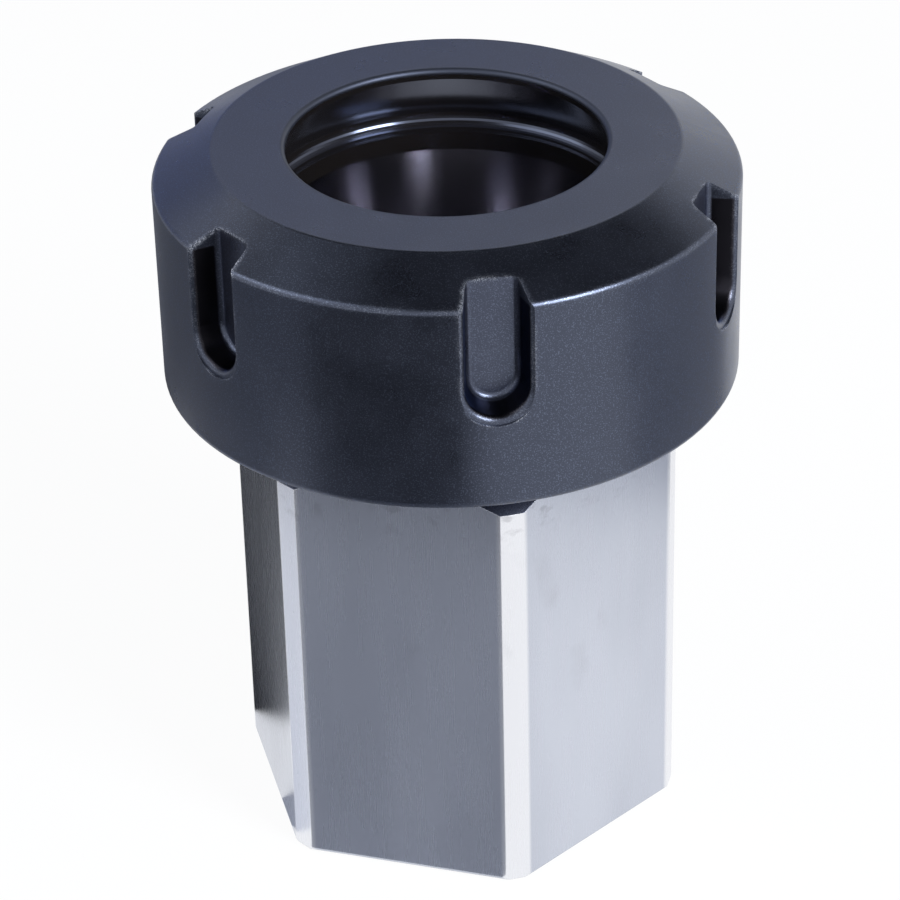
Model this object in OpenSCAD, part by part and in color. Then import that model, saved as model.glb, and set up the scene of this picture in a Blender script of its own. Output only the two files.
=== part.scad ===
// Hex collet block: a ground hex body with a tapered collet seat and a slotted clamp nut on its nose.
// Millimetres, +Z up along the bore. The base stands on z = 0 and one hex flat faces -Y.

/* [Hex body] */
// Distance across the hex flats
hex_af = 45; // [40:0.5:47]
// Diameter that trims the six hex corners
corner_d = 50.5; // [48:0.1:51.5]
// Length of the hex, from base to shoulder
hex_len = 50; // [40:1:80]
// Diameter at the shoulder's plane where the corner crown ends
shoulder_d = 48; // [46:0.1:50]
// Mean slope of the crown that chamfers the corners, from the shoulder's plane
corner_slope = 44; // [30:1:55]
// Edge break round the base
base_break = 0.3; // [0.1:0.1:1]

/* [Threaded nose] */
// Major diameter of the nose thread
thread_d = 50; // [48:0.5:52]
// Chamfer at the tip of the nose
tip_chamfer = 1; // [0.5:0.1:2]
// Diameter of the groove between shoulder and thread
groove_d = 44.6; // [43:0.1:46]
// Length of that groove's floor
groove_len = 2.4; // [1:0.1:3]

/* [Collet seat] */
// Mouth diameter of the tapered seat
seat_d = 41; // [38:0.5:43]
// Half angle of the seat
seat_angle = 8; // [6:0.5:10]
// Edge break at the mouth
mouth_break = 0.3; // [0.1:0.1:0.8]
// Diameter of the bore that runs on to the base
bore_d = 28; // [24:0.5:34]
// Chamfer where the bore leaves the base
bore_chamfer = 1.5; // [0.5:0.1:3]

/* [Clamp nut] */
// Outer diameter of the nut
nut_d = 63.5; // [60:0.5:70]
// Height of the nut
nut_h = 26.9; // [24:0.1:32]
// Diameter of the flat front face
face_d = 50.6; // [46:0.1:54]
// Slope of the front cone, from the face's plane
cone_slope = 28; // [20:1:40]
// Rounding of the outer edges
edge_r = 0.8; // [0.3:0.1:1.5]
// Gap between the nut's lower edge and the hex shoulder
skirt_gap = 4.1; // [2:0.1:10]
// Radial running clearance on the thread
thread_gap = 0.05; // [0.01:0.01:0.1]
// Depth of the run-out groove above the thread
runout_depth = 0.6; // [0.3:0.1:1]
// Length of the run-out groove
runout_len = 3.5; // [2:0.1:5]
// Chamfer where the thread starts
entry_chamfer = 1.2; // [0.5:0.1:2]

/* [Nut opening] */
// Diameter of the opening in the front face
opening_d = 34.6; // [30:0.1:37]
// Rounding of the opening's rim
rim_r = 0.5; // [0.2:0.1:0.9]
// Depth at which the clamping cone starts
cone_start = 1.2; // [0.8:0.1:2]
// Length of the clamping cone along the axis
cone_len = 5.6; // [4:0.1:7]
// Half angle of the clamping cone
cone_angle = 30; // [25:1:35]
// Length of the straight wall between cone and lip
wall_len = 1.6; // [1.5:0.1:2.5]
// Fillet at the root of the lip
root_r = 1.4; // [0.3:0.1:1.5]

/* [Extraction lip] */
// Mean reach of the lip into the opening
lip_reach = 1.2; // [0.8:0.1:2]
// Sideways shift of the lip's bore, which pulls the collet out
lip_shift = 0.8; // [0.2:0.1:1]
// Thickness of the lip
lip_t = 2.1; // [1.5:0.1:3]
// Clearance between the lip and the nose
nose_gap = 0.5; // [0.3:0.1:2]

/* [Spanner slots] */
// Number of slots
slot_count = 6; // [4:1:8]
// Width between the slot's walls at the outer diameter
slot_w = 7; // [5:0.1:8]
// Draft of the slot's walls, which narrows the slot towards its floor
slot_draft = 14; // [0:1:18]
// Depth of the slot's floor below the outer diameter
slot_depth = 3.4; // [2.5:0.1:4.5]
// Distance from the front face to the slot's round end
slot_len = 16.3; // [12:0.1:19]
// Rounding of the slot's outer edges
slot_edge_r = 0.8; // [0.3:0.1:1.2]
// Fillet along the slot's floor
slot_root_r = 0.7; // [0.2:0.1:1.5]
// Turn of the nut on the nose, from the front flat to the nearest slot
nut_turn = 24.7; // [0:0.1:60]

/* [Hidden] */
$fn = 128;
// Segments of each rounded profile corner
arc_steps = 8;
// How far a cutter runs past the face it cuts
past = 1;
hex_sides = 6;
// Heights along the axis, from the nut's own lower edge upwards
lip_depth = cone_start + cone_len + wall_len;
lip_top = nut_h - lip_depth;
lip_base = lip_top - lip_t;
runout_base = lip_base - runout_len;
// Heights along the axis, from the base upwards
nut_z = hex_len + skirt_gap;
nose_z = nut_z + lip_base - nose_gap;
// Radii of the nose and of the seat
thread_r = thread_d / 2;
seat_r = seat_d / 2;
bore_r = bore_d / 2;
seat_end_z = nose_z - (seat_r - bore_r) / tan(seat_angle);
// Radii of the nut
nut_r = nut_d / 2;
opening_r = opening_d / 2;
head_r = opening_r + cone_len * tan(cone_angle);
nut_thread_r = thread_r + thread_gap;
runout_r = nut_thread_r + runout_depth;
cone_drop = (nut_r - face_d / 2) * tan(cone_slope);

// Unit vector from point a to point b
function toward(a, b) = (b - a) / norm(b - a);
// Points that round the corner b between a and c with radius r
function rounded(a, b, c, r) =
    let (u = toward(b, a), v = toward(b, c))
    let (half = acos(u * v) / 2)
    let (centre = b + toward([0, 0], u + v) * r / sin(half))
    let (start = b + u * r / tan(half) - centre, turn = cross(u, v) > 0 ? -1 : 1)
    [for (i = [0 : arc_steps]) centre + spun(start, turn * (180 - 2 * half) * i / arc_steps)];
// Vector p turned by an angle
function spun(p, angle) = [
    p.x * cos(angle) - p.y * sin(angle),
    p.x * sin(angle) + p.y * cos(angle)
];
// Outline through [x, y, corner radius] points, with every corner that has a radius rounded
function outline(points) =
    let (n = len(points), at = function(i) [points[(i + n) % n].x, points[(i + n) % n].y])
    [for (i = [0 : n - 1])
        each points[i].z > 0 ? rounded(at(i - 1), at(i), at(i + 1), points[i].z) : [at(i)]];

// Solid turned about the axis from an outline of [radius, height, corner radius]
module turned(points) {
    rotate_extrude() polygon(outline(points));
}

// Six flats, with the sharp edge of each at the base broken
module hex_prism() {
    break_side = base_break * sqrt(2);
    difference() {
        cylinder(d = hex_af / cos(180 / hex_sides), h = hex_len, $fn = hex_sides);
        for (i = [0 : hex_sides - 1])
            rotate(i * 360 / hex_sides)
                translate([0, -hex_af / 2, 0])
                    rotate([45, 0, 0])
                        cube([hex_af, break_side, break_side], center = true);
    }
}

// Turned envelope of the hex: base break, corner bands and a crown that chamfers the corners
module hex_envelope() {
    corner_r = corner_d / 2;
    shoulder_r = shoulder_d / 2;
    crown_r = (corner_r + shoulder_r) / 2 / sin(corner_slope);
    band_break = base_break / 2;
    intersection() {
        turned([
            [0, 0, 0],
            [corner_r - band_break, 0, 0],
            [corner_r, band_break, 0],
            [corner_r, hex_len, 0],
            [0, hex_len, 0]
        ]);
        translate([0, 0, hex_len - sqrt(crown_r * crown_r - shoulder_r * shoulder_r)])
            sphere(r = crown_r);
    }
}

// Nose with its groove, at the thread's major diameter
module nose() {
    groove_r = groove_d / 2;
    turned([
        [0, hex_len - past, 0],
        [groove_r, hex_len - past, 0],
        [groove_r, hex_len + groove_len, 0],
        [thread_r, hex_len + groove_len + thread_r - groove_r, 0],
        [thread_r, nose_z - tip_chamfer, 0],
        [thread_r - tip_chamfer, nose_z, 0],
        [0, nose_z, 0]
    ]);
}

// Tapered seat that runs into the straight bore
module seat_and_bore() {
    mouth_r = seat_r + mouth_break;
    turned([
        [0, -past, 0],
        [bore_r + bore_chamfer + past, -past, 0],
        [bore_r, bore_chamfer, 0],
        [bore_r, seat_end_z, 0],
        [seat_r - mouth_break * tan(seat_angle), nose_z - mouth_break, 0],
        [mouth_r, nose_z, 0],
        [mouth_r, nose_z + past, 0],
        [0, nose_z + past, 0]
    ]);
}

// Hex body: flats for indexing, a threaded nose and the collet seat
module hex_body() {
    color([0.72, 0.74, 0.78])
        difference() {
            union() {
                intersection() {
                    hex_prism();
                    hex_envelope();
                }
                nose();
            }
            seat_and_bore();
        }
}

// Nut blank: front cone outside, clamping cone, lip, run-out and thread inside
module nut_blank() {
    turned([
        [opening_r, nut_h, rim_r],
        [opening_r, nut_h - cone_start, 0],
        [head_r, nut_h - cone_start - cone_len, 0],
        [head_r, lip_top, root_r],
        [head_r - lip_reach - lip_shift - past, lip_top, 0],
        [head_r - lip_reach - lip_shift - past, lip_base, 0],
        [runout_r, lip_base, 0],
        [runout_r, runout_base, 0],
        [nut_thread_r, runout_base - runout_depth, 0],
        [nut_thread_r, entry_chamfer, 0],
        [nut_thread_r + entry_chamfer, 0, 0],
        [nut_r, 0, edge_r],
        [nut_r, nut_h - cone_drop, edge_r],
        [face_d / 2, nut_h, edge_r]
    ]);
}

// Bore of the lip, off the axis so that the lip is deep on one side and shallow on the other
module lip_bore() {
    translate([0, -lip_shift, lip_base - past])
        cylinder(r = head_r - lip_reach, h = lip_t + past + root_r);
}

// Half of a slot's section: [distance from the slot's middle, distance from the nut's axis].
// The rounded edge ends where the slot's mouth meets the round of the nut.
function slot_half() =
    let (wall = slot_w / 2, floor_r = nut_r - slot_depth)
    let (mouth = wall + slot_edge_r, mouth_r = sqrt(nut_r * nut_r - wall * wall))
    let (floor_half = wall - (mouth_r - floor_r) * tan(slot_draft))
    outline([
        [0, floor_r, 0],
        [floor_half, floor_r, slot_root_r],
        [wall, mouth_r, slot_edge_r],
        [mouth, mouth_r, 0],
        [mouth, nut_r + past, 0],
        [0, nut_r + past, 0]
    ]);

// Spanner slot on the +Y side: a straight run that leaves through the front, and a round lower end
module spanner_slot() {
    end_z = nut_h - slot_len + slot_w / 2;
    translate([0, 0, end_z]) {
        linear_extrude(slot_len) {
            polygon(slot_half());
            mirror([1, 0]) polygon(slot_half());
        }
        rotate([-90, 0, 0]) rotate_extrude() polygon(slot_half());
    }
}

// Clamp nut: turned blank with an off-centre lip and a ring of spanner slots, the first on the -Y side
module clamp_nut() {
    color([0.17, 0.18, 0.21])
        translate([0, 0, nut_z])
            rotate(nut_turn)
                difference() {
                    nut_blank();
                    lip_bore();
                    for (i = [0 : slot_count - 1])
                        rotate(180 + i * 360 / slot_count)
                            spanner_slot();
                }
}

hex_body();
clamp_nut();
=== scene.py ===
"""Looks of a hex collet block: ground steel hex body and black oxide clamp nut, on a white studio floor.

Everything is in metres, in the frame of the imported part: +Z up along the bore, base on z = 0.
"""
import math

import bpy
from mathutils import Matrix, Vector

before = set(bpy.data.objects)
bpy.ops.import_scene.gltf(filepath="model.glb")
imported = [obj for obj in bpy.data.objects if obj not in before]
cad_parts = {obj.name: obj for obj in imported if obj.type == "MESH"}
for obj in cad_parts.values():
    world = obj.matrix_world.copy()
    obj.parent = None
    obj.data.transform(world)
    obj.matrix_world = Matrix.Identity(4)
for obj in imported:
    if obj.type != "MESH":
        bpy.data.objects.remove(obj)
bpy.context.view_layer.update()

MM = 0.001


def reach(node, axis, pick):
    """Lowest or highest coordinate of a CAD node along one axis."""
    return pick(corner[axis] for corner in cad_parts[node].bound_box)


# Camera of the photograph
CAMERA_AZIMUTH = 16.27
CAMERA_ELEVATION = 31.52
CAMERA_ROLL = 1.43
CAMERA_DISTANCE = 403.9 * MM
CAMERA_AIM = Vector((-0.4, -0.1, 42.0)) * MM
CAMERA_CLIP = 10 * MM
LENS_PIXELS = 3586.0
PHOTO_PIXELS = 900
SENSOR = 36.0

# Sizes that the finishes follow, from the frame and from the part's own dimensions
NUT_RADIUS = reach("clamp_nut", 0, max)
NUT_BASE = reach("clamp_nut", 2, min)
NUT_TOP = reach("clamp_nut", 2, max)
SHOULDER = 50 * MM
CROWN_DROP = 1.4 * MM
CORNER_BAND_RADIUS = 25.1 * MM
SEAT_ZONE_RADIUS = 21.5 * MM
OPENING_RADIUS = 17.3 * MM
RIM_ROUNDING = 0.5 * MM
SLOT_DEPTH = 3.4 * MM
SLOT_LENGTH = 16.3 * MM
CONE_DROP = 3.4 * MM

# Zones of the finishes and of the painted shade on the hex body, and how far up a surface of each zone faces
CROWN_BASE = SHOULDER - CROWN_DROP
NECK_BASE = SHOULDER + 0.04 * MM
STAIN_HEIGHTS = (SHOULDER - 7 * MM, SHOULDER)
BASE_FACING = -0.9
FACING_STEP = 0.05
CROWN_FACING = (0.25, 0.4)

# Zones of the finishes and of the painted shade on the nut
SLOT_FLOOR_RADIUS = NUT_RADIUS - SLOT_DEPTH
SLOT_END = NUT_TOP - SLOT_LENGTH
CONE_BASE = NUT_TOP - CONE_DROP
SLOT_FLOOR_RADII = (SLOT_FLOOR_RADIUS - 0.3 * MM, SLOT_FLOOR_RADIUS + 0.35 * MM)
SLOT_FLOOR_HEIGHTS = (SLOT_END + 0.5 * MM, CONE_BASE + 1.5 * MM)
SLOT_WALL_RADII = (SLOT_FLOOR_RADIUS + 0.6 * MM, NUT_RADIUS - 0.35 * MM)
SLOT_WALL_HEIGHTS = (SLOT_END - 2 * MM, CONE_BASE - 0.3 * MM)
MOUTH_TOP = NUT_TOP - 0.6 * MM
RIM_RADIUS = OPENING_RADIUS + RIM_ROUNDING
RIM_BASE = NUT_TOP - 0.7 * MM
LOW_EDGE_HEIGHTS = (NUT_BASE + 2 * MM, NUT_BASE + 4 * MM)

# Half widths of the soft steps between zones
NECK_STEP = 0.02 * MM
FINE_STEP = 0.05 * MM
RIM_STEP = 0.08 * MM
SOFT_STEP = 0.1 * MM
WALL_STEP = 0.12 * MM
SEAT_STEP = 0.2 * MM

# Finish of the steel: colours
FLAT_DEEP = (0.520, 0.548, 0.626, 1)
FLAT_PALE = (0.615, 0.645, 0.728, 1)
# Turned corner bands, coloured lighter than the flats as a painted highlight
BAND_HIGHLIGHT_STEEL = (0.84, 0.85, 0.89, 1)
OIL_STAIN = (0.30, 0.30, 0.33, 1)
# Painted shade under the nut, on the corner crown and the neck
UNDER_NUT_SHADE = (0.10, 0.11, 0.155, 1)
# Painted shade: the seat and bore are coloured darker than the flats
SEAT_SHADE_STEEL = (0.36, 0.355, 0.39, 1)

# Finish of the steel: how each pattern is stretched, how fine it is, and which of its levels show
MIDDLE_LEVELS = (0.3, 0.7)
GRIND_STRETCH = (1, 1, 0.03)
GRIND_SCALE = 2600
CLOUD_STRETCH = (1, 1, 0.3)
CLOUD_SCALE = 75
CLOUD_DETAIL = 2.0
SEAT_STRETCH = (0.02, 0.02, 1)
SEAT_SCALE = 1800
SEAT_MARKS = (0.42, 0.58)
RING_SCALE = 2200
SMEAR_STRETCH = (1, 1, 0.6)
SMEAR_SCALE = 95
SMEAR_DETAIL = 4.0
SMEAR_LEVELS = (0.62, 0.78)
SMEAR_STRENGTH = 0.22
STAIN_STRETCH = (1, 1, 1.6)
STAIN_SCALE = 420
STAIN_DETAIL = 5.0
STAIN_LEVELS = (0.57, 0.68)
STAIN_STRENGTH = 0.5

# Finish of the steel: shine, edges and depth of the marks
FLAT_ROUGHNESS = (0.26, 0.28)
SEAT_ROUGHNESS = 0.13
EDGE_BREAK = 0.12 * MM
EDGE_SAMPLES = 4
GRIND_DEPTH = 0.01 * MM
GRIND_STRENGTH = 0.02

# Finish of the nut: colours
OXIDE_DEEP = (0.0028, 0.0029, 0.0042, 1)
OXIDE_PALE = (0.0048, 0.0050, 0.0072, 1)
MOUTH_OXIDE = (0.009, 0.0075, 0.007, 1)
SLOT_FLOOR_OXIDE = (0.014, 0.014, 0.022, 1)
# Painted shade on the walls of the spanner slots
SLOT_WALL_SHADE = (0.026, 0.025, 0.032, 1)
FLECK_STEEL = (0.12, 0.14, 0.195, 1)
WORN_STEEL = (0.55, 0.57, 0.63, 1)

# Finish of the nut: sandy grain, flecks and blotches
GRAIN_SCALE = 7000
GRAIN_DETAIL = 1.0
GRAIN_TEXTURE = 0.6
GRAIN_DEPTH = 0.006 * MM
GRAIN_STRENGTH = 0.8
FLECK_LEVELS = (0.585, 0.63)
FLOOR_GRAIN_LEVELS = (0.35, 0.65)
FLOOR_GRAIN_SHARE = (0.2, 1.0)
BLOTCH_SCALE = 150
BLOTCH_DETAIL = 4.0

# Finish of the nut: wear along its outer edges
WEAR_WIDTH = 0.75 * MM
WEAR_SAMPLES = 8
CONVEX_LEVELS = (0.90, 0.62)
PATCH_SCALE = 420
PATCH_DETAIL = 2.0
PATCH_LEVELS = (0.42, 0.60)
PATCH_SHARE = (0.10, 1.0)
WEAR_GRAIN_LEVELS = (0.47, 0.60)
WEAR_GRAIN_SHARE = (0.03, 1.0)
LOW_EDGE_SHARE = (0.15, 1.0)
WORN_METAL = 0.6

# Finish of the nut: shine
OXIDE_SHEEN = (0.62, 0.71, 1.0, 1)
OXIDE_SPECULAR = 0.62
OXIDE_IOR = 1.8
OXIDE_ROUGHNESS = (0.26, 0.34)
MOUTH_ROUGHNESS = 0.17
WORN_ROUGHNESS = 0.46
RIM_ROUGHNESS = 0.5

# Studio floor and lamps
FLOOR_HALF = 1.5
FLOOR_WHITE = 0.94
PAPER = (0.86, 0.87, 0.88, 1)
WHITE = (1, 1, 1, 1)
LAMP_AIM = Vector((0, 0, 40)) * MM
LAMP_TINT = (0.93, 0.96, 1.0)
LAMP_DISTANCE = 0.6
# Softboxes: azimuth, elevation, width in metres and power in watts
SOFTBOXES = (
    ("main_softbox", 62, 30, 0.22, 4.0),
    ("fill_softbox", -60, 48, 0.40, 0.9),
)

# Studio room: its own light, and the dark canopy over the part, which fades out between two radii
ROOM_TINT = (0.82, 0.88, 1, 1)
ROOM_LIGHT = 0.55
CANOPY_GREY = 0.015
CANOPY_HALF = 0.8
CANOPY_PLACE = (0.12, 0.06, 0.64)
CANOPY_FADE = (0.54, 0.765)
# Standing card behind the part on its left: azimuth, distance, half width and height
STANDING_AZIMUTH = 225
STANDING_DISTANCE = 0.7
STANDING_HALF = 0.5
STANDING_HEIGHT = 0.51
STANDING_COLOUR = (0.40, 0.43, 0.60, 1)

# Cards on the floor out of the picture: corners in millimetres, and how light the card is
CARD_LIFT = 0.4 * MM
CARD_BLUE = 1.04
CARDS = (
    # The front card is a grey sheet that stands for the floor in front lying in the part's shade: painted
    # shade, seen in reflections
    ("front_card", ((-12, -22.6), (11, -22.6), (47, -105), (-75, -105)), 0.27),
    ("far_front_card", ((-75, -105), (47, -105), (125, -300), (-220, -300)), 0.03),
    ("left_card", ((-30, -6), (-90, 30), (-75, 110), (-20, 20)), 0.04),
    ("left_band_card", ((-15, -14), (-15, -24), (-100, -60), (-100, -25)), 0.62),
    ("far_left_card", ((-75, -105), (-220, -300), (-400, 60), (-102, 20)), 0.27),
    ("back_left_card", ((-102, 20), (-400, 60), (-150, 400), (-60, 112)), 0.28),
    ("far_right_card", ((100, -17), (295, -52), (193, 230), (64, 80)), 0.36),
)

# Detail and texture of a noise pattern where nothing else is said
NOISE_DETAIL = 3.0
NOISE_TEXTURE = 0.55
# Sockets of a mix node, by its data type: first input, second input and result
MIX_SOCKETS = {"RGBA": (6, 7, 2), "FLOAT": (2, 3, 0)}
UNIT = (0.0, 1.0)
FLIPPED = (1.0, 0.0)


def direction(azimuth, elevation):
    """Unit vector from the part towards a viewer: azimuth 0 stands on the -Y side, +X to its right."""
    a = math.radians(azimuth)
    e = math.radians(elevation)
    return Vector((math.sin(a) * math.cos(e), -math.cos(a) * math.cos(e), math.sin(e)))


def add_object(name, data):
    obj = bpy.data.objects.new(name, data)
    bpy.context.scene.collection.objects.link(obj)
    return obj


def add_camera():
    """Camera at the photograph's place, turned a little about its own line of sight."""
    data = bpy.data.cameras.new("photo_camera")
    data.sensor_width = SENSOR
    data.lens = LENS_PIXELS / PHOTO_PIXELS * SENSOR
    data.clip_start = CAMERA_CLIP
    camera = add_object("photo_camera", data)
    back = direction(CAMERA_AZIMUTH, CAMERA_ELEVATION)
    roll = Matrix.Rotation(math.radians(-CAMERA_ROLL), 3, "Z")
    turn = back.to_track_quat("Z", "Y").to_matrix() @ roll
    camera.matrix_world = Matrix.Translation(CAMERA_AIM + back * CAMERA_DISTANCE) @ turn.to_4x4()
    bpy.context.scene.camera = camera


class Nodes:
    """Short way to add and link the nodes of one material."""

    def __init__(self, tree):
        self.tree = tree
        tree.nodes.clear()

    def put(self, socket, value):
        """Links a socket to another node's output, or sets its constant."""
        if isinstance(value, bpy.types.NodeSocket):
            self.tree.links.new(value, socket)
        else:
            socket.default_value = value

    def add(self, kind, inputs=(), **settings):
        node = self.tree.nodes.new(kind)
        for key, value in settings.items():
            setattr(node, key, value)
        for key, value in dict(inputs).items():
            self.put(node.inputs[key], value)
        return node


def new_material(name):
    material = bpy.data.materials.new(name)
    material.use_nodes = True
    return material, Nodes(material.node_tree)


def radius_and_height(n, place):
    """Distance of the shaded point from the bore's axis, and its height."""
    flat = n.add("ShaderNodeVectorMath", {0: place, 1: (1, 1, 0)}, operation="MULTIPLY")
    radius = n.add("ShaderNodeVectorMath", {0: flat.outputs[0]}, operation="LENGTH")
    height = n.add("ShaderNodeSeparateXYZ", {0: place})
    return radius.outputs["Value"], height.outputs["Z"]


def upward(n):
    """How far the surface faces up, from -1 to 1."""
    geometry = n.add("ShaderNodeNewGeometry")
    return n.add("ShaderNodeSeparateXYZ", {0: geometry.outputs["Normal"]}).outputs["Z"]


def spread(n, value, span, onto=UNIT):
    """Maps a value from one span onto another, and clamps it there."""
    return n.add("ShaderNodeMapRange", {
        "Value": value, "From Min": span[0], "From Max": span[1],
        "To Min": onto[0], "To Max": onto[1]}).outputs[0]


def above(n, value, limit, step):
    """1 where a value is over a limit, 0 under it, with a soft step between."""
    return spread(n, value, (limit - step, limit + step))


def below(n, value, limit, step):
    """1 where a value is under a limit, 0 over it, with a soft step between."""
    return spread(n, value, (limit - step, limit + step), FLIPPED)


def product(n, *factors):
    result = factors[0]
    for factor in factors[1:]:
        result = n.add("ShaderNodeMath", {0: result, 1: factor}, operation="MULTIPLY").outputs[0]
    return result


def larger(n, a, b):
    return n.add("ShaderNodeMath", {0: a, 1: b}, operation="MAXIMUM").outputs[0]


def outside_of(n, zone):
    """1 where a zone is 0, and 0 where it is 1."""
    return spread(n, zone, UNIT, FLIPPED)


def between(n, value, limits, step):
    """1 where a value lies between two limits, with soft steps at both."""
    return product(n, above(n, value, limits[0], step), below(n, value, limits[1], step))


def stretched(n, place, scale):
    return n.add("ShaderNodeVectorMath", {0: place, 1: scale}, operation="MULTIPLY").outputs[0]


def noise(n, place, scale, detail=NOISE_DETAIL, texture=NOISE_TEXTURE):
    """Cloudy pattern from 0 to 1, finer with a larger scale."""
    return n.add("ShaderNodeTexNoise", {
        "Vector": place, "Scale": scale, "Detail": detail, "Roughness": texture}).outputs[0]


def mixed(n, kind, factor, first, second):
    """The first colour or value where the factor is 0, the second where it is 1."""
    mix = n.add("ShaderNodeMix", data_type=kind)
    first_socket, second_socket, result = MIX_SOCKETS[kind]
    n.put(mix.inputs[0], factor)
    n.put(mix.inputs[first_socket], first)
    n.put(mix.inputs[second_socket], second)
    return mix.outputs[result]


def mixed_colour(n, factor, first, second):
    return mixed(n, "RGBA", factor, first, second)


def mixed_value(n, factor, first, second):
    return mixed(n, "FLOAT", factor, first, second)


def steel_marks(n, place, radius, on_base, in_seat):
    """Grinding marks: along the flats, round the seat and bore, in rings on the base."""
    along = noise(n, stretched(n, place, GRIND_STRETCH), GRIND_SCALE)
    round_seat = spread(n, noise(n, stretched(n, place, SEAT_STRETCH), SEAT_SCALE), UNIT, SEAT_MARKS)
    rings = noise(n, n.add("ShaderNodeCombineXYZ", {0: radius}).outputs[0], RING_SCALE)
    return mixed_value(n, on_base, mixed_value(n, in_seat, along, round_seat), rings)


def oil_and_stains(n, place, height):
    """Faint smears of oil all over, and darker stains close under the shoulder."""
    oil = noise(n, stretched(n, place, SMEAR_STRETCH), SMEAR_SCALE, SMEAR_DETAIL)
    smears = spread(n, oil, SMEAR_LEVELS, (0.0, SMEAR_STRENGTH))
    dirt = noise(n, stretched(n, place, STAIN_STRETCH), STAIN_SCALE, STAIN_DETAIL)
    spots = spread(n, dirt, STAIN_LEVELS, (0.0, STAIN_STRENGTH))
    return larger(n, smears, product(n, spots, spread(n, height, STAIN_HEIGHTS)))


def under_nut_shade_zone(n, height, facing):
    """The corner crown and the neck, painted dark as the shade under the nut."""
    crown = product(n, spread(n, facing, CROWN_FACING), above(n, height, CROWN_BASE, FINE_STEP))
    neck = above(n, height, NECK_BASE, NECK_STEP)
    return larger(n, crown, neck)


def ground_steel():
    """Hardened steel: flats ground along the axis, corner bands lightened as a painted highlight, seat
    ground round the axis and darkened as painted shade, and painted shade under the nut.
    """
    material, n = new_material("ground_steel")
    place = n.add("ShaderNodeTexCoord").outputs["Object"]
    radius, height = radius_and_height(n, place)
    facing = upward(n)
    on_base = below(n, facing, BASE_FACING, FACING_STEP)
    in_seat = product(n, below(n, radius, SEAT_ZONE_RADIUS, SEAT_STEP),
                      above(n, facing, BASE_FACING, FACING_STEP))
    marks = steel_marks(n, place, radius, on_base, in_seat)
    clouds = noise(n, stretched(n, place, CLOUD_STRETCH), CLOUD_SCALE, CLOUD_DETAIL)
    flats = mixed_colour(n, spread(n, clouds, MIDDLE_LEVELS), FLAT_DEEP, FLAT_PALE)
    # Painted highlight: the corner bands are coloured lighter than the flats
    clean = mixed_colour(n, above(n, radius, CORNER_BAND_RADIUS, SOFT_STEP), flats, BAND_HIGHLIGHT_STEEL)
    stained = mixed_colour(n, oil_and_stains(n, place, height), clean, OIL_STAIN)
    # Painted shade under the nut: the corner crown and the neck are coloured dark
    shaded_under_nut = mixed_colour(n, under_nut_shade_zone(n, height, facing), stained, UNDER_NUT_SHADE)
    # Painted shade in the bore: the seat gets a darker colour than the flats
    colour = mixed_colour(n, in_seat, shaded_under_nut, SEAT_SHADE_STEEL)
    rough = mixed_value(n, in_seat, spread(n, marks, MIDDLE_LEVELS, FLAT_ROUGHNESS), SEAT_ROUGHNESS)
    rounding = n.add("ShaderNodeBevel", {"Radius": EDGE_BREAK}, samples=EDGE_SAMPLES)
    bump = n.add("ShaderNodeBump", {
        "Strength": GRIND_STRENGTH, "Distance": GRIND_DEPTH, "Height": marks, "Normal": rounding.outputs[0]})
    shader = n.add("ShaderNodeBsdfPrincipled", {
        "Base Color": colour, "Metallic": 1.0, "Roughness": rough, "Normal": bump.outputs[0]})
    n.add("ShaderNodeOutputMaterial", {"Surface": shader.outputs[0]})
    return material


def slot_floor_zone(n, radius, height):
    """The milled floors of the spanner slots."""
    return product(n, between(n, radius, SLOT_FLOOR_RADII, FINE_STEP),
                   between(n, height, SLOT_FLOOR_HEIGHTS, FINE_STEP))


def slot_wall_shade_zone(n, radius, height):
    """The side walls and round ends of the spanner slots, where painted shade goes."""
    return product(n, between(n, radius, SLOT_WALL_RADII, WALL_STEP),
                   between(n, height, SLOT_WALL_HEIGHTS, SOFT_STEP))


def edge_wear(n, place, grain, height, spared):
    """Convex edges, and the bright flecks along them: in patches, thin low on the nut, none where spared."""
    inner = n.add("ShaderNodeAmbientOcclusion", {"Distance": WEAR_WIDTH}, inside=True, samples=WEAR_SAMPLES)
    convex = spread(n, inner.outputs["AO"], CONVEX_LEVELS)
    patches = spread(n, noise(n, place, PATCH_SCALE, PATCH_DETAIL), PATCH_LEVELS, PATCH_SHARE)
    flecks = spread(n, grain, WEAR_GRAIN_LEVELS, WEAR_GRAIN_SHARE)
    raised = spread(n, height, LOW_EDGE_HEIGHTS, LOW_EDGE_SHARE)
    return convex, product(n, convex, patches, flecks, raised, outside_of(n, spared))


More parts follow.
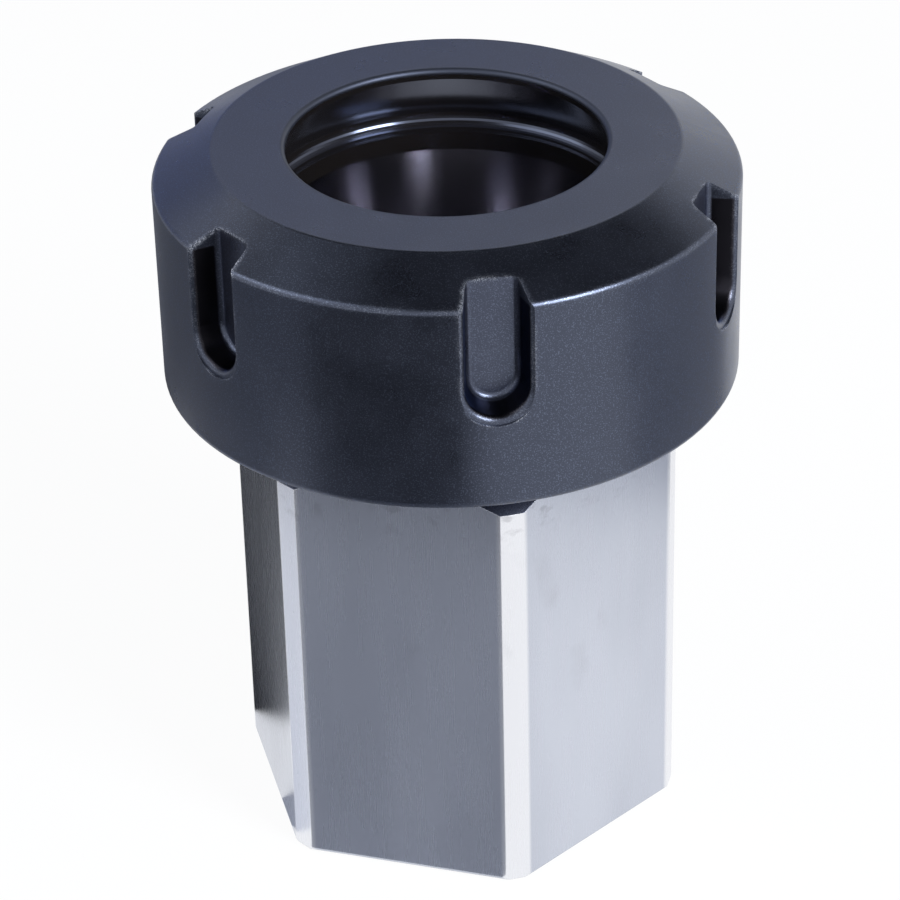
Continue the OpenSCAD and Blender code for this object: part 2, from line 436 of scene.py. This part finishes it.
def black_oxide():
    """Blackened steel with a fine sandy grain, worn bright along its outer edges, ground smooth inside."""
    material, n = new_material("black_oxide")
    place = n.add("ShaderNodeTexCoord").outputs["Object"]
    radius, height = radius_and_height(n, place)
    in_mouth = product(n, below(n, radius, SEAT_ZONE_RADIUS, SOFT_STEP),
                       below(n, height, MOUTH_TOP, SOFT_STEP))
    on_rim = product(n, below(n, radius, RIM_RADIUS, RIM_STEP), above(n, height, RIM_BASE, SOFT_STEP))
    on_floor = slot_floor_zone(n, radius, height)
    on_wall = slot_wall_shade_zone(n, radius, height)
    grain = noise(n, place, GRAIN_SCALE, GRAIN_DETAIL, GRAIN_TEXTURE)
    blotch = spread(n, noise(n, place, BLOTCH_SCALE, BLOTCH_DETAIL), MIDDLE_LEVELS)
    spared = larger(n, in_mouth, on_rim)
    convex, wear = edge_wear(n, place, grain, height, spared)
    flecks = product(n, spread(n, grain, FLECK_LEVELS), outside_of(n, larger(n, spared, on_wall)))
    oxide = mixed_colour(n, blotch, OXIDE_DEEP, OXIDE_PALE)
    bare = mixed_colour(n, in_mouth, oxide, MOUTH_OXIDE)
    floor_grain = product(n, on_floor, spread(n, grain, FLOOR_GRAIN_LEVELS, FLOOR_GRAIN_SHARE))
    milled = mixed_colour(n, floor_grain, bare, SLOT_FLOOR_OXIDE)
    sandy = mixed_colour(n, flecks, milled, FLECK_STEEL)
    # Painted shade: the slot walls are coloured near black and made full metal, so they throw back little
    # light
    shaded = mixed_colour(n, on_wall, sandy, SLOT_WALL_SHADE)
    colour = mixed_colour(n, wear, shaded, WORN_STEEL)
    metal = larger(n, product(n, wear, WORN_METAL), larger(n, flecks, on_wall))
    edge_rough = mixed_value(n, convex, spread(n, blotch, UNIT, OXIDE_ROUGHNESS), WORN_ROUGHNESS)
    rim_rough = mixed_value(n, on_rim, edge_rough, RIM_ROUGHNESS)
    rough = mixed_value(n, in_mouth, rim_rough, MOUTH_ROUGHNESS)
    depth = product(n, grain, outside_of(n, in_mouth))
    bump = n.add("ShaderNodeBump", {"Strength": GRAIN_STRENGTH, "Distance": GRAIN_DEPTH, "Height": depth})
    shader = n.add("ShaderNodeBsdfPrincipled", {
        "Base Color": colour, "Metallic": metal, "Roughness": rough, "IOR": OXIDE_IOR,
        "Specular IOR Level": OXIDE_SPECULAR, "Specular Tint": OXIDE_SHEEN, "Normal": bump.outputs[0]})
    n.add("ShaderNodeOutputMaterial", {"Surface": shader.outputs[0]})
    return material


def seen_directly(n):
    """1 for the rays that show the white background: to the camera, in reflections and through glass."""
    path = n.add("ShaderNodeLightPath")
    direct = larger(n, path.outputs["Is Camera Ray"], path.outputs["Is Glossy Ray"])
    return larger(n, direct, path.outputs["Is Transmission Ray"])


def floor_paper():
    """White paper: the background's white where it is seen, lit paper for the light that it throws back."""
    material, n = new_material("floor_paper")
    paper = n.add("ShaderNodeBsdfDiffuse", {"Color": PAPER})
    white = n.add("ShaderNodeEmission", {"Color": WHITE, "Strength": 1.0})
    seen = product(n, seen_directly(n), FLOOR_WHITE)
    mix = n.add("ShaderNodeMixShader", {0: seen, 1: paper.outputs[0], 2: white.outputs[0]})
    n.add("ShaderNodeOutputMaterial", {"Surface": mix.outputs[0]})
    return material


def add_sheet(name, corners, material):
    """Four-cornered sheet of the studio, which isn't a piece of the part."""
    mesh = bpy.data.meshes.new(name)
    mesh.from_pydata(corners, [], [(0, 1, 2, 3)])
    mesh.materials.append(material)
    sheet = add_object(name, mesh)
    return sheet


def square(half):
    return [(-half, -half, 0), (half, -half, 0), (half, half, 0), (-half, half, 0)]


def add_floor():
    add_sheet("studio_floor", square(FLOOR_HALF), floor_paper())


def card_paper(name, colour):
    material, n = new_material(name)
    card = n.add("ShaderNodeBsdfDiffuse", {"Color": colour})
    n.add("ShaderNodeOutputMaterial", {"Surface": card.outputs[0]})
    return material


def show_in_reflections_only(sheet):
    sheet.visible_camera = False
    sheet.visible_diffuse = False
    sheet.visible_shadow = False


def add_card(name, corners, grey):
    """Studio card that lies on the floor out of the picture, and shows only in reflections."""
    paper = card_paper(name, (grey, grey, grey * CARD_BLUE, 1))
    show_in_reflections_only(add_sheet(name, [(x * MM, y * MM, CARD_LIFT) for x, y in corners], paper))


def add_standing_card():
    """Blue-grey card that stands behind the part on its left, and shows only in reflections."""
    middle = direction(STANDING_AZIMUTH, 0) * STANDING_DISTANCE
    side = direction(STANDING_AZIMUTH + 90, 0) * STANDING_HALF
    rise = Vector((0, 0, STANDING_HEIGHT))
    corners = [middle - side, middle + side, middle + side + rise, middle - side + rise]
    paper = card_paper("standing_card", STANDING_COLOUR)
    show_in_reflections_only(add_sheet("standing_card", corners, paper))


def add_canopy():
    """Dark canopy high over the part with a soft edge, which shows only in reflections."""
    material, n = new_material("dark_canopy")
    radius, _ = radius_and_height(n, n.add("ShaderNodeTexCoord").outputs["Object"])
    cloth = n.add("ShaderNodeBsdfDiffuse", {"Color": (CANOPY_GREY, CANOPY_GREY, CANOPY_GREY, 1)})
    clear = n.add("ShaderNodeBsdfTransparent")
    mix = n.add("ShaderNodeMixShader", {
        0: spread(n, radius, CANOPY_FADE), 1: cloth.outputs[0], 2: clear.outputs[0]})
    n.add("ShaderNodeOutputMaterial", {"Surface": mix.outputs[0]})
    canopy = add_sheet("dark_canopy", square(CANOPY_HALF), material)
    canopy.location = CANOPY_PLACE
    show_in_reflections_only(canopy)


def add_softbox(name, azimuth, elevation, size, power):
    data = bpy.data.lights.new(name, "AREA")
    data.shape = "SQUARE"
    data.size = size
    data.energy = power
    data.color = LAMP_TINT
    lamp = add_object(name, data)
    towards = direction(azimuth, elevation)
    turn = towards.to_track_quat("Z", "Y").to_matrix().to_4x4()
    lamp.matrix_world = Matrix.Translation(LAMP_AIM + towards * LAMP_DISTANCE) @ turn


def set_world():
    """White background where it is seen, and a pale room for the light that it gives."""
    world = bpy.data.worlds.new("studio_world")
    bpy.context.scene.world = world
    world.use_nodes = True
    n = Nodes(world.node_tree)
    room = n.add("ShaderNodeBackground", {"Color": ROOM_TINT, "Strength": ROOM_LIGHT})
    white = n.add("ShaderNodeBackground", {"Color": WHITE, "Strength": 1.0})
    mix = n.add("ShaderNodeMixShader", {0: seen_directly(n), 1: room.outputs[0], 2: white.outputs[0]})
    n.add("ShaderNodeOutputWorld", {"Surface": mix.outputs[0]})


def dress(node, material):
    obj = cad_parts[node]
    obj.data.materials.clear()
    obj.data.materials.append(material)


bpy.context.scene.view_settings.view_transform = "Standard"
dress("hex_body", ground_steel())
dress("clamp_nut", black_oxide())
add_camera()
add_floor()
for card in CARDS:
    add_card(*card)
add_standing_card()
add_canopy()
set_world()
for softbox in SOFTBOXES:
    add_softbox(*softbox)
